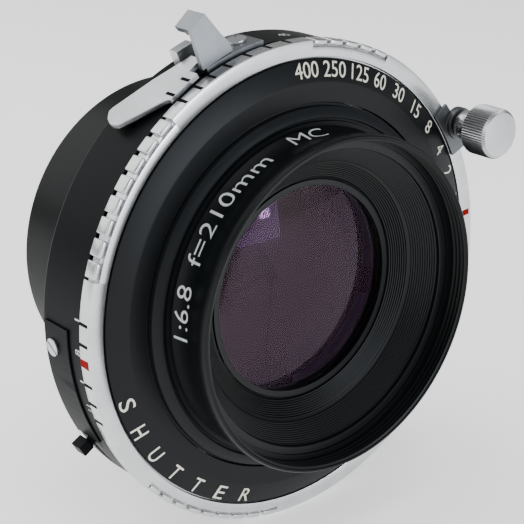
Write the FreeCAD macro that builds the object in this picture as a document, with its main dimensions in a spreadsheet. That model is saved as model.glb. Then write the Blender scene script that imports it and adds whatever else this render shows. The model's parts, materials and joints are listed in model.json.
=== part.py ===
"""View-camera lens in a leaf shutter, built piece by piece.

Millimetres. The optical axis is Y, the front of the lens faces -Y and +Z is up.
The origin is on the optical axis at the shutter's rear seat, where it meets the lens board.
Clock angles run from +Z towards +X, as seen from the front.
"""
import FreeCAD, Part
import math
import os
import Sketcher

os.makedirs("parts", exist_ok=True)
doc = FreeCAD.newDocument("LeafShutterLens")

# ---------------------------------------------------------------- driving dimensions
DIMENSIONS = {
    # shutter: depths are measured back from the front plane of the speed ring
    "body_depth": 12.3,
    "body_radius": 36.0,
    "body_wall": 1.9,
    "ring_radius": 36.5,
    "ring_inner_radius": 34.05,
    "ring_width": 2.3,
    "face_radius": 33.8,
    "collar_radius": 27.6,
    "collar_inner_radius": 25.75,
    "front_thread_radius": 20.0,
    "board_thread_radius": 19.5,
    "rear_thread_radius": 18.0,
    "light_radius": 15.0,
    "notch_pitch": 4.8,
    # front cell
    "rim_radius": 25.1,
    "rim_front": -10.68,
    "filter_thread_radius": 24.1,
    "filter_thread_length": 2.8,
    "glass_radius": 16.6,
    # rear cell and the ring that holds the shutter to its board
    "rear_barrel_radius": 25.2,
    "rear_barrel_end": 34.9,
    "board_gap": 3.2,
    # blades
    "leaf_thickness": 0.12,
    "leaf_pitch": 0.25,
    "leaf_pivot_radius": 20.5,
    "leaf_pivot_lead": 40.0,
    "leaf_swing": 44.0,
    "leaf_reach": 15.6,
    "leaf_clearance": 23.1,
    "iris_pitch": 0.22,
    "iris_width": 7.6,
    "iris_arc": 136.0,
    # finger knob clamped to the speed ring
    "knob_radius": 3.85,
    "knob_length": 4.8,
    "knob_back": -4.65,
    "knob_reach": 37.3,
    "knob_clock": 58.5,
    # running gap between pieces that move past each other
    "gap": 0.3,
}

LEAF_COUNT = 5
IRIS_COUNT = 7
KNURL_COUNT = 36


class Size:
    """A number together with the spreadsheet expression that gives it."""

    def __init__(self, value, text):
        self.value = float(value)
        self.text = text

    def _join(self, other, sign, value):
        other = as_size(other)
        return Size(value, f"({self.text} {sign} {other.text})")

    def __add__(self, other):
        return self._join(other, "+", self.value + as_size(other).value)

    def __sub__(self, other):
        return self._join(other, "-", self.value - as_size(other).value)

    def __mul__(self, other):
        return self._join(other, "*", self.value * as_size(other).value)

    def __truediv__(self, other):
        return self._join(other, "/", self.value / as_size(other).value)

    def __radd__(self, other):
        return as_size(other) + self

    def __rsub__(self, other):
        return as_size(other) - self

    def __rmul__(self, other):
        return as_size(other) * self

    def __neg__(self):
        return as_size(0.0) - self


def as_size(number):
    """Plain numbers join in with sizes as constants."""
    if isinstance(number, Size):
        return number
    return Size(number, f"{float(number):.6f}")


def sine(angle):
    angle = as_size(angle)
    return Size(math.sin(math.radians(angle.value)), f"sin({angle.text})")


def cosine(angle):
    angle = as_size(angle)
    return Size(math.cos(math.radians(angle.value)), f"cos({angle.text})")


def clock(radius, angle):
    """The x and z of a point at a radius and a clock angle."""
    return radius * sine(angle), radius * cosine(angle)


sheet = doc.addObject("Spreadsheet::Sheet", "Dims")
for row, (alias, number) in enumerate(DIMENSIONS.items(), start=1):
    sheet.set(f"A{row}", alias)
    sheet.set(f"B{row}", str(number))
    sheet.setAlias(f"B{row}", alias)
doc.recompute()


def dim(alias):
    return Size(DIMENSIONS[alias], f"Dims.{alias}")


def behind(depth):
    """A place on the optical axis, given as its depth behind the speed ring's front plane."""
    return as_size(depth) - dim("body_depth")


GAP = dim("gap")
nodes = {}


# ---------------------------------------------------------------- small builders
def bind(item, prop, size):
    size = as_size(size)
    item.setExpression(prop, size.text)


def place(item, x=0.0, y=0.0, z=0.0):
    for letter, size in (("x", x), ("y", y), ("z", z)):
        bind(item, f"Placement.Base.{letter}", size)


def new_body(name):
    body = doc.addObject("PartDesign::Body", name)
    body.Label = name
    return body


def origin_feature(body, role):
    return next(f for f in body.Origin.OriginFeatures if f.Role == role)


def new_sketch(body, name, role, offset=None):
    """A sketch on one of the body's own origin planes; offset moves it along the plane's normal."""
    sketch = body.newObject("Sketcher::SketchObject", name)
    sketch.AttachmentSupport = [(origin_feature(body, role), "")]
    sketch.MapMode = "FlatFace"
    if offset is not None:
        bind(sketch, "AttachmentOffset.Base.z", offset)
    return sketch


def pin_point(sketch, line, end, point):
    """Tie one end of a line to its place, measured from the sketch's origin."""
    for kind, size in (("DistanceX", point[0]), ("DistanceY", point[1])):
        size = as_size(size)
        index = sketch.addConstraint(Sketcher.Constraint(kind, -1, 1, line, end, size.value))
        sketch.setExpression(f"Constraints[{index}]", size.text)


def draw_outline(sketch, points):
    """A closed outline of straight lines through points that are bound to the sheet."""
    count = len(points)
    corners = [FreeCAD.Vector(as_size(p[0]).value, as_size(p[1]).value, 0) for p in points]
    for k in range(count):
        sketch.addGeometry(Part.LineSegment(corners[k], corners[(k + 1) % count]), False)
    for k in range(count):
        sketch.addConstraint(Sketcher.Constraint("Coincident", k, 2, (k + 1) % count, 1))
        pin_point(sketch, k, 1, points[k])


def draw_circle(sketch, centre, radius):
    centre_x, centre_y = as_size(centre[0]), as_size(centre[1])
    middle = FreeCAD.Vector(centre_x.value, centre_y.value, 0)
    up = FreeCAD.Vector(0, 0, 1)
    circle = sketch.addGeometry(Part.Circle(middle, up, as_size(radius).value), False)
    pin_point(sketch, circle, 3, centre)
    index = sketch.addConstraint(Sketcher.Constraint("Radius", circle, as_size(radius).value))
    sketch.setExpression(f"Constraints[{index}]", as_size(radius).text)


def turned(name, profile, angle=360.0):
    """A turned piece: a closed outline of (radius, y) points spun about the optical axis."""
    body = new_body(name)
    sketch = new_sketch(body, name + "_profile", "XY_Plane")
    draw_outline(sketch, profile)
    spin = body.newObject("PartDesign::Revolution", name + "_turning")
    spin.Profile = sketch
    spin.ReferenceAxis = (sketch, ["V_Axis"])
    spin.Angle = angle
    body.Tip = spin
    nodes[name] = body
    return body


def ring(name, inner, outer, front, back):
    """A plain turned ring, front and back given as depths."""
    start, end = behind(front), behind(back)
    return turned(name, [(inner, start), (outer, start), (outer, end), (inner, end)])


def pad(body, name, outline, back, thickness, holes=()):
    """A plate across the optical axis: its back face at a depth, growing forwards."""
    sketch = new_sketch(body, name + "_outline", "XZ_Plane", -behind(back))
    if isinstance(outline, tuple):
        draw_circle(sketch, outline[0], outline[1])
    else:
        draw_outline(sketch, outline)
    for centre, radius in holes:
        draw_circle(sketch, centre, radius)
    plate = body.newObject("PartDesign::Pad", name + "_plate")
    plate.Profile = sketch
    bind(plate, "Length", thickness)
    body.Tip = plate
    return plate


def plate_piece(name, outline, back, thickness, holes=()):
    body = new_body(name)
    pad(body, name, outline, back, thickness, holes)
    nodes[name] = body
    return body


def cut_outline(body, name, outline, front, length, repeat=None):
    """A pocket across the optical axis from a depth backwards, and its pattern about the axis."""
    sketch = new_sketch(body, name + "_outline", "XZ_Plane", -behind(front))
    if isinstance(outline, tuple):
        draw_circle(sketch, outline[0], outline[1])
    else:
        draw_outline(sketch, outline)
    doc.recompute()
    before = body.Shape.Volume
    pocket = body.newObject("PartDesign::Pocket", name + "_cut")
    pocket.Profile = sketch
    bind(pocket, "Length", length)
    pocket.Reversed = False
    body.Tip = pocket
    doc.recompute()
    if body.Shape.Volume >= before - 1e-6:
        raise RuntimeError(f"{name} cuts nothing")
    if repeat:
        count, angle = repeat
        around(body, name, pocket, count, angle)
    return pocket


def around(body, name, feature, count, angle):
    """Repeat a feature about the body's own Y axis."""
    pattern = body.newObject("PartDesign::PolarPattern", name + "_pattern")
    pattern.Originals = [feature]
    pattern.Axis = (origin_feature(body, "Y_Axis"), [""])
    pattern.Angle = angle
    pattern.Occurrences = count
    body.Tip = pattern
    doc.recompute()
    return pattern


def circle_edges(shape, rims):
    """Names of the circular edges about the Y axis at the given (radius, y) places."""
    names = []
    for number, edge in enumerate(shape.Edges, start=1):
        curve = edge.Curve
        if curve.TypeId != "Part::GeomCircle" or abs(abs(curve.Axis.y) - 1) > 1e-6:
            continue
        if math.hypot(curve.Center.x, curve.Center.z) > 1e-3:
            continue
        for radius, y in rims:
            if abs(curve.Radius - as_size(radius).value) < 1e-3 and abs(curve.Center.y - as_size(y).value) < 1e-3:
                names.append(f"Edge{number}")
    return names


def soften(body, kind, size, rims):
    """Fillet or chamfer the turned edges at the given (radius, y) places."""
    doc.recompute()
    base = body.Tip
    names = circle_edges(base.Shape, rims)
    if len(names) < len(rims):
        raise RuntimeError(f"{body.Label}: found {len(names)} of {len(rims)} edges to soften")
    feature = body.newObject(f"PartDesign::{kind}", f"{body.Label}_{kind}_{len(body.Group)}")
    feature.Base = (base, names)
    if kind == "Fillet":
        feature.Radius = size
    else:
        feature.Size = size
    body.Tip = feature
    doc.recompute()


def arc_band(inner, outer, start, end, steps=10):
    """Outline of a band about the optical axis, from one clock angle to another."""
    turn = [start + (end - start) * k / steps for k in range(steps + 1)]
    return [clock(outer, a) for a in turn] + [clock(inner, a) for a in reversed(turn)]


def solid(kind, name, **sizes):
    """A Part primitive whose sizes are bound to the sheet."""
    item = doc.addObject(kind, name)
    for prop, size in sizes.items():
        bind(item, prop, size)
    return item


def rod(name, radius, length, x, y, z, direction=(0, 1, 0)):
    """A round bar that starts at a place and runs along a direction."""
    item = solid("Part::Cylinder", name, Radius=radius, Height=length)
    item.Placement = FreeCAD.Placement(
        FreeCAD.Vector(0, 0, 0),
        FreeCAD.Rotation(FreeCAD.Vector(0, 0, 1), FreeCAD.Vector(*direction)),
    )
    place(item, x, y, z)
    return item


def fuse(name, items):
    item = doc.addObject("Part::MultiFuse", name)
    item.Shapes = items
    return item


def cut(name, base, tool):
    item = doc.addObject("Part::Cut", name)
    item.Base = base
    item.Tool = tool
    return item


# ---------------------------------------------------------------- the shutter's fixed case
def make_housing():
    """Black cup: side wall, rear wall and the threaded boss that goes through the board."""
    radius, wall = dim("body_radius"), dim("body_wall")
    inside = radius - wall
    boss = dim("board_thread_radius")
    bore = dim("rear_thread_radius")
    boss_end = behind(19.0)
    relief = behind(dim("body_depth") + dim("board_gap") - 0.3)
    housing = turned("shutter_housing", [
        (radius, behind(dim("ring_width") + GAP)), (radius, behind(dim("body_depth"))),
        (boss, behind(dim("body_depth"))), (boss, relief), (boss - 0.5, relief),
        (boss - 0.5, relief + 0.4), (boss, relief + 0.4), (boss, boss_end), (bore, boss_end),
        (bore, behind(10.3)), (inside, behind(10.3)), (inside, behind(dim("ring_width") + GAP)),
    ])
    soften(housing, "Fillet", 0.6, [(radius, behind(dim("body_depth")))])
    soften(housing, "Chamfer", 0.3, [(boss, boss_end)])
    # slots in the side wall for the four levers: start and end clock angle, front depth, width
    slots = {
        "cocking": (336.6, 359.2, 3.1, 1.0),
        "preview": (318.4, 335.3, 6.2, 1.0),
        "release": (337.4, 344.0, 8.8, 1.0),
        "diaphragm": (184.5, 240.0, 9.1, 1.1),
    }
    for name, (start, end, front, width) in slots.items():
        outline = arc_band(inside - 0.8, radius + 0.8, as_size(start), as_size(end))
        cut_outline(housing, name + "_slot", outline, front, width)
    seat = ((30.0 * sine(20.0), 30.0 * cosine(20.0)), 1.6)
    cut_outline(housing, "screw_seat", seat, dim("body_depth") - 0.9, 1.4, (5, 360.0))
    # holes in the side wall for the cable release and the flash socket
    for name, angle, depth, hole in (("release_socket", 122.0, 7.2, 2.6), ("flash_socket", 150.0, 7.2, 2.6)):
        drill = drill_wall(housing, name, angle, depth, hole)
        housing.Tip = drill
    return housing


def drill_wall(body, name, angle, depth, hole):
    """A round radial hole through the side wall at a clock angle."""
    sketch = body.newObject("Sketcher::SketchObject", name + "_outline")
    sketch.AttachmentSupport = [(origin_feature(body, "XY_Plane"), "")]
    sketch.MapMode = "FlatFace"
    sketch.AttachmentOffset = FreeCAD.Placement(
        FreeCAD.Vector(0, 0, 0), FreeCAD.Rotation(FreeCAD.Vector(0, 1, 0), angle))
    draw_circle(sketch, (0.0, behind(depth)), hole)
    doc.recompute()
    before = body.Shape.Volume
    pocket = body.newObject("PartDesign::Pocket", name + "_cut")
    pocket.Profile = sketch
    bind(pocket, "Length", dim("body_radius") + 4.0)
    pocket.Reversed = True
    body.Tip = pocket
    doc.recompute()
    if body.Shape.Volume >= before - 1e-6:
        raise RuntimeError(f"{name} cuts nothing")
    return pocket


def make_front_of_case():
    """The black engraved face, and the stepped collar that the front cell screws into."""
    face, collar = dim("face_radius"), dim("collar_radius")
    turned("face_plate", [
        (collar + 0.05, behind(-0.95)), (30.6, behind(-0.95)), (face, behind(0.0)),
        (face, behind(0.5)), (collar + 0.05, behind(0.5)),
    ])
    inner, thread = dim("collar_inner_radius"), dim("front_thread_radius")
    boss = turned("front_collar", [
        (thread, behind(-2.05)), (inner - 0.35, behind(-2.05)), (inner + 0.15, behind(-2.2)),
        (collar - 0.35, behind(-1.5)), (collar - 0.35, behind(-0.6)), (collar, behind(-0.6)),
        (collar, behind(0.5)), (thread + 1.6, behind(0.5)), (thread + 1.6, behind(4.1)), (thread, behind(4.1)),
    ])
    return boss


def make_inner_plates():
    """Mechanism plate in front of the blades, and the plate between the blades and the iris."""
    inside = dim("body_radius") - dim("body_wall") - 0.05
    ring("mechanism_plate", dim("rear_thread_radius") + 0.3, inside, 4.4, 4.95)
    ring("divider_plate", dim("light_radius") + 0.2, inside, 7.15, 7.55)


def make_side_plate():
    """Raised cover on the lower left of the side wall, with one slotted screw."""
    radius = dim("body_radius")
    outer = radius + 0.3
    plate = new_body("side_plate")
    pad(plate, "side_plate", arc_band(radius + 0.02, outer, as_size(240.8), as_size(271.2), 14), 11.5, 5.9)
    nodes["side_plate"] = plate
    screw_head("side_plate_screw", 265.5, 9.4, outer + 0.02, 1.3, 0.3)


def screw_head(name, angle, depth, radius, head_radius, height):
    """A slotted screw head on the side wall, facing outwards at a clock angle."""
    x, z = clock(radius, angle)
    outward = (math.sin(math.radians(angle)), 0.0, math.cos(math.radians(angle)))
    head = rod(name + "_head", head_radius, height, x, behind(depth), z, outward)
    slot_x, slot_z = clock(as_size(radius) + height * 0.5, angle)
    slot = solid("Part::Box", name + "_slot", Length=0.35, Width=head_radius * 2.4, Height=1.0)
    turn = FreeCAD.Rotation(FreeCAD.Vector(0, 1, 0), angle)
    tilt = FreeCAD.Rotation(FreeCAD.Vector(0, 0, 1), -35.0)
    corner = turn.multiply(tilt).multVec(FreeCAD.Vector(-0.175, -head_radius * 1.2, 0))
    slot.Placement = FreeCAD.Placement(FreeCAD.Vector(0, 0, 0), turn.multiply(tilt))
    place(slot, slot_x + corner.x, behind(depth) + corner.y, slot_z + corner.z)
    screw = cut(name, head, slot)
    screw.Label = name
    nodes[name] = screw


def make_side_sockets():
    """Cable-release bush and flash socket, both radial, with the flash socket's centre contact."""
    for name, angle, outer, bore, start, end in (
        ("cable_release_socket", 122.0, 2.55, 1.65, 34.4, 41.0),
        ("flash_socket", 150.0, 2.55, 1.9, 34.4, 39.0),
    ):
        outward = (math.sin(math.radians(angle)), 0.0, math.cos(math.radians(angle)))
        x, z = clock(start, angle)
        tube = rod(name + "_tube", outer, end - start, x, behind(7.2), z, outward)
        floor = 0.8 if name == "flash_socket" else -0.5
        hx, hz = clock(start + floor, angle)
        hole = rod(name + "_bore", bore, end - start + 2.0, hx, behind(7.2), hz, outward)
        socket = cut(name, tube, hole)
        socket.Label = name
        nodes[name] = socket
    outward = (math.sin(math.radians(150.0)), 0.0, math.cos(math.radians(150.0)))
    px, pz = clock(35.2, 150.0)
    nodes["flash_contact"] = rod("flash_contact", 0.45, 2.6, px, behind(7.2), pz, outward)
    nodes["flash_contact"].Label = "flash_contact"


def make_rear_screws():
    """Five screws that hold the rear wall, one node."""
    heads = []
    for k in range(5):
        x, z = clock(30.0, 20.0 + 72.0 * k)
        head = rod(f"rear_screw_{k + 1}_head", 1.5, 0.75, x, behind(dim("body_depth")) - 0.85, z)
        slot = solid("Part::Box", f"rear_screw_{k + 1}_slot", Length=0.4, Width=0.6, Height=3.6)
        place(slot, x - 0.2, behind(dim("body_depth")) - 0.45, z - 1.8)
        heads.append(cut(f"rear_screw_{k + 1}", head, slot))
    group = doc.addObject("Part::Compound", "rear_screws")
    group.Links = heads
    group.Label = "rear_screws"
    nodes["rear_screws"] = group


# ---------------------------------------------------------------- glass and barrels
def make_front_barrel():
    """Front cell: flared outside, filter thread, plain cone and a stepped baffle inside."""
    front = dim("rim_front")
    rim, thread = dim("rim_radius"), dim("filter_thread_radius")
    screw = dim("front_thread_radius")
    glass = dim("glass_radius")
    thread_end = front + dim("filter_thread_length") + 0.25
    profile = [
        (rim - 0.25, behind(front)), (rim, behind(front + 0.9)), (rim - 0.15, behind(front + 2.0)),
        (24.2, behind(front + 3.6)), (24.0, behind(-4.6)), (24.6, behind(-2.35)),
        (screw - 0.05, behind(-2.35)), (screw - 0.05, behind(3.6)), (glass + 0.8, behind(3.6)),
        (glass + 0.8, behind(4.9)), (15.3, behind(4.9)), (15.3, behind(4.55)),
        (glass, behind(4.55)), (glass, behind(-1.25)),
    ]
    # a fine saw-tooth baffle between the plain cone and the retaining ring
    steps = 7
    inner_r, inner_y, outer_r, outer_y = 17.05, -1.25, 19.5, -3.0
    for k in range(steps):
        part = k / steps
        level = inner_y + (outer_y - inner_y) * part
        radius = inner_r + (outer_r - inner_r) * part
        profile.append((radius, behind(level)))
        profile.append((radius + 0.12, behind(level - 0.22)))
    profile += [
        (outer_r, behind(outer_y)), (22.3, behind(-6.4)), (22.3, behind(-7.1)), (23.4, behind(-7.1)),
        (23.4, behind(thread_end)), (thread, behind(thread_end)), (thread, behind(front + 0.25)),
    ]
    return turned("front_cell_barrel", profile)


def lens_element(name, radius, front_edge, back_edge, front_curve, back_curve):
    """A round glass. A positive curve radius bulges outwards from the glass, a negative one is hollow."""
    outer = as_size(radius)
    body = rod(name + "_blank", outer, 40.0, 0.0, behind(front_edge - 20.0), 0.0)
    half = outer.value
    for side, edge, curve in (("front", front_edge, front_curve), ("back", back_edge, back_curve)):
        forward = -1.0 if side == "front" else 1.0
        rise = math.sqrt(curve * curve - half * half)
        if curve > 0:
            centre = edge - forward * rise
            ball = solid("Part::Sphere", f"{name}_{side}_ball", Radius=abs(curve))
            place(ball, 0.0, behind(centre), 0.0)
            joined = doc.addObject("Part::Common", f"{name}_{side}")
            joined.Base = body
            joined.Tool = ball
            body = joined
        else:
            flat = rod(f"{name}_{side}_stop", outer + 1.0, 40.0, 0.0, behind(edge), 0.0, (0, forward, 0))
            trimmed = cut(f"{name}_{side}_flat", body, flat)
            centre = edge + forward * rise
            ball = solid("Part::Sphere", f"{name}_{side}_ball", Radius=abs(curve))
            place(ball, 0.0, behind(centre), 0.0)
            body = cut(f"{name}_{side}", trimmed, ball)
    body.Label = name
    nodes[name] = body


def make_glasses():
    """Three elements: two in the front cell and one in the rear cell, with their rings."""
    glass = dim("glass_radius")
    light = dim("light_radius")
    lens_element("front_element", glass - 0.05, -0.8, 0.6, 62.0, 260.0)
    lens_element("middle_element", glass - 0.05, 2.15, 4.5, -260.0, -140.0)
    ring("spacer_ring", glass - 0.75, glass - 0.05, 0.75, 2.1)
    ring("front_retaining_ring", 15.7, glass - 0.05, -1.45, -1.05)
    lens_element("rear_element", glass - 0.05, 22.2, 23.6, 190.0, 48.0)
    ring("rear_retaining_ring", light + 0.6, glass - 0.05, 24.0, 25.3)


def make_rear_barrel():
    """Rear cell: screws into the boss from behind and widens to a plain black barrel."""
    screw, glass = dim("rear_thread_radius"), dim("glass_radius")
    outer, end = dim("rear_barrel_radius"), dim("rear_barrel_end")
    barrel = turned("rear_cell_barrel", [
        (16.0, behind(11.0)), (screw - 0.05, behind(11.0)), (screw - 0.05, behind(19.4)),
        (outer, behind(19.4)), (outer, behind(end)), (outer - 2.2, behind(end)),
        (outer - 2.2, behind(end - 1.2)), (18.4, behind(27.0)), (18.4, behind(25.4)),
        (glass, behind(25.4)), (glass, behind(21.7)), (16.0, behind(21.7)),
    ])
    soften(barrel, "Fillet", 0.5, [(outer, behind(19.4)), (outer, behind(end))])
    return barrel


def make_board_ring():
    """Slotted ring on the boss, which clamps the lens board against the seat."""
    thread = dim("board_thread_radius")
    front = dim("body_depth") + dim("board_gap")
    nut = turned("board_retaining_ring", [
        (thread + 0.03, behind(front)), (24.0, behind(front)), (24.0, behind(front + 2.4)),
        (thread + 0.03, behind(front + 2.4)),
    ])
    soften(nut, "Chamfer", 0.3, [(24.0, behind(front)), (24.0, behind(front + 2.4))])
    slot = [(22.0, -0.9), (25.0, -0.9), (25.0, 0.9), (22.0, 0.9)]
    cut_outline(nut, "wrench_slot", slot, front - 0.5, 4.0, (4, 360.0))
    return nut


# ---------------------------------------------------------------- the speed ring and its finger knob
def make_speed_ring():
    """Chrome ring with two pairs of coin-edge stretches and plain stretches between them."""
    outer, inner, width = dim("ring_radius"), dim("ring_inner_radius"), dim("ring_width")
    speed_ring = turned("speed_ring", [
        (inner, behind(0.0)), (outer, behind(0.0)), (outer, behind(width)), (inner, behind(width)),
    ])
    soften(speed_ring, "Chamfer", 0.12, [(outer, behind(0.0))])
    soften(speed_ring, "Fillet", 0.15, [(outer, behind(width))])
    pitch = dim("notch_pitch")
    half_width = 0.33
    # first notch's clock angle and how many notches follow it
    for name, start, count in (("left", 284.5, 9), ("top", 4.0, 6), ("bottom", 186.0, 10), ("right", 100.0, 9)):
        side = math.degrees(half_width / 36.5)
        outline = arc_band(outer - 0.72, outer + 0.6, as_size(start - side), as_size(start + side), 1)
        span = pitch.value * (count - 1)
        cut_outline(speed_ring, name + "_notch", outline, -0.5, 3.3, (count, span))
        # a groove in the front face parts the blocks from the smooth band inside them
        groove = arc_band(outer - 1.0, outer - 0.72, as_size(start), as_size(start + span), 14)
        cut_outline(speed_ring, name + "_groove", groove, -0.5, 0.92)
    ring("speed_cam", 26.4, inner - 0.02, 0.8, 1.4)
    return speed_ring


def spun(name, profile, x, z):
    """A small turned piece on an axis of its own, beside the optical axis."""
    body = new_body(name)
    sketch = new_sketch(body, name + "_profile", "XY_Plane")
    draw_outline(sketch, profile)
    turning = body.newObject("PartDesign::Revolution", name + "_turning")
    turning.Profile = sketch
    turning.ReferenceAxis = (sketch, ["V_Axis"])
    turning.Angle = 360.0
    body.Tip = turning
    place(body, x, 0.0, z)
    nodes[name] = body
    return body


def make_finger_knob():
    """A dark clamp on the ring, a domed collar, and a knurled knob whose axis runs forwards."""
    angle = dim("knob_clock")
    x, z = clock(dim("knob_reach"), angle)
    ring_out, ring_in = dim("ring_radius"), dim("ring_inner_radius")
    stem = 0.85
    bore = ((x, z), stem + 0.1)
    clamp = new_body("ring_clamp")
    band = arc_band(ring_in + 0.1, ring_out + 0.6, angle - 6.6, angle + 6.6, 6)
    pad(clamp, "ring_clamp", band, -0.03, 0.5)
    pad(clamp, "clamp_boss", ((x, z), 2.5), -0.03, 1.2)
    cut_outline(clamp, "clamp_bore", bore, as_size(-2.0), 3.0)
    nodes["ring_clamp"] = clamp
    spun("clamp_collar", [
        (stem + 0.1, behind(-1.25)), (1.9, behind(-1.25)), (2.35, behind(-2.0)), (2.45, behind(-2.9)),
        (2.3, behind(-3.7)), (1.9, behind(-4.55)), (stem + 0.1, behind(-4.55)),
    ], x, z)
    radius, length = dim("knob_radius"), dim("knob_length")
    back = behind(dim("knob_back"))
    front = back - length
    knob = spun("clamp_knob", [
        (0.0, front), (radius - 0.45, front), (radius, front + 0.45), (radius, back - 0.3),
        (radius - 0.3, back), (stem, back), (stem, behind(-0.2)), (0.0, behind(-0.2)),
    ], x, z)
    groove = [(-0.13, radius - 0.28), (0.13, radius - 0.28), (0.22, radius + 0.3), (-0.22, radius + 0.3)]
    cut_outline(knob, "knurl", groove, dim("knob_back") - length + 0.5, length - 0.5, (KNURL_COUNT, 360.0))


# ---------------------------------------------------------------- levers
def make_cocking_lever():
    """Folded sheet lever on top of the case: a flange, a turned-back top and an arm with a screw."""
    lever = new_body("cocking_lever")
    front, width = 2.75, 3.75
    sheet_thickness = 0.75
    flange = [(-14.75, 34.1), (-16.65, 39.75), (-14.35, 41.8), (-11.8, 38.9), (-10.35, 37.5), (-9.6, 36.2)]
    pad(lever, "flange", flange, front + sheet_thickness, sheet_thickness)
    # the turned-back top is thickest in the bend next to the flange
    for name, inset, near, far in (("turned_top", 0.95, front, front + width), ("bend", 1.7, 3.4, 4.3),
                                   ("bend_end", 1.3, 4.2, 4.9)):
        top = [(-16.65, 39.75), (-14.35, 41.8), (-11.8, 38.9), (-11.8 - 0.725 * inset, 38.9 - 0.688 * inset),
               (-14.35 - 0.058 * inset, 41.8 - 1.39 * inset), (-16.65 + 0.665 * inset, 39.75 - 0.747 * inset)]
        pad(lever, name, top, far, far - near)
    # the arm lies on the case in three widths: clock angles, front depth and back depth
    for name, start, end, near, far in (
        ("arm_tip", 337.6, 342.8, front, 4.0), ("arm", 342.6, 353.4, front, 7.6), ("arm_heel", 346.0, 353.4, 7.4, 8.6),
    ):
        outline = arc_band(as_size(36.35), as_size(37.1), as_size(start), as_size(end), 8)
        pad(lever, name, outline, far, far - near)
    root = arc_band(as_size(32.72), as_size(36.6), as_size(337.7), as_size(338.8), 2)
    pad(lever, "root", root, 4.0, 0.7)
    nodes["cocking_lever"] = lever
    screw_head("cocking_lever_screw", 349.6, 5.7, 37.12, 1.45, 0.35)
    ring("cocking_ring", 30.0, 32.7, 3.3, 4.0)


def make_preview_lever():
    """Flat tapered plate behind the speed ring, tied to the ring that drives the shutter leaves."""
    lever = new_body("preview_lever")
    angle = 327.0
    radius, thickness = 37.1, 0.75
    sketch = lever.newObject("Sketcher::SketchObject", "preview_lever_outline")
    sketch.AttachmentSupport = [(origin_feature(lever, "XY_Plane"), "")]
    sketch.MapMode = "FlatFace"
    turn = FreeCAD.Rotation(FreeCAD.Vector(0, 1, 0), angle)
    normal = turn.multVec(FreeCAD.Vector(0, 0, 1))
    sketch.AttachmentOffset = FreeCAD.Placement(normal * (radius - thickness), turn)
    draw_outline(sketch, [(across, behind(depth)) for across, depth in (
        (-0.25, 2.6), (5.2, 2.6), (5.2, 4.4), (7.7, 4.4), (7.76, 6.79), (2.12, 9.24), (-4.2, 11.3),
        (-4.82, 11.37), (-5.2, 11.25), (-5.73, 10.8), (-6.3, 10.2), (-6.8, 9.2), (-6.95, 8.2),
        (-6.68, 7.33), (-6.2, 6.95), (-3.9, 5.45), (-0.7, 3.53), (-0.3, 3.2),
    )])
    plate = lever.newObject("PartDesign::Pad", "preview_lever_plate")
    plate.Profile = sketch
    plate.Length = thickness
    lever.Tip = plate
    root = arc_band(as_size(32.92), as_size(36.9), as_size(331.5), as_size(334.5), 3)
    pad(lever, "preview_root", root, 6.95, 0.45)
    nodes["preview_lever"] = lever
    ring("leaf_ring", 17.0, 32.9, 6.5, 6.95)


def make_release_lever():
    """Small tab behind the cocking lever, with a tongue through the side wall."""
    lever = new_body("release_lever")
    tab = arc_band(as_size(36.4), as_size(38.9), as_size(336.8), as_size(341.3), 3)
    pad(lever, "tab", tab, 9.8, 1.8)
    tongue = arc_band(as_size(33.0), as_size(36.6), as_size(338.0), as_size(340.0), 2)
    pad(lever, "tongue", tongue, 9.6, 0.6)
    nodes["release_lever"] = lever


def make_diaphragm_lever():
    """Short bent tab low on the left, on the ring that drives the iris."""
    lever = new_body("diaphragm_lever")
    stem = arc_band(as_size(29.42), as_size(37.8), as_size(236.9), as_size(239.1), 2)
    pad(lever, "stem", stem, 10.0, 0.7)
    tab = arc_band(as_size(36.5), as_size(38.3), as_size(236.6), as_size(239.4), 3)
    pad(lever, "tab", tab, 11.3, 2.2)
    nodes["diaphragm_lever"] = lever
    ring("iris_ring", 16.4, 29.4, 9.4, 9.95)


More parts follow.
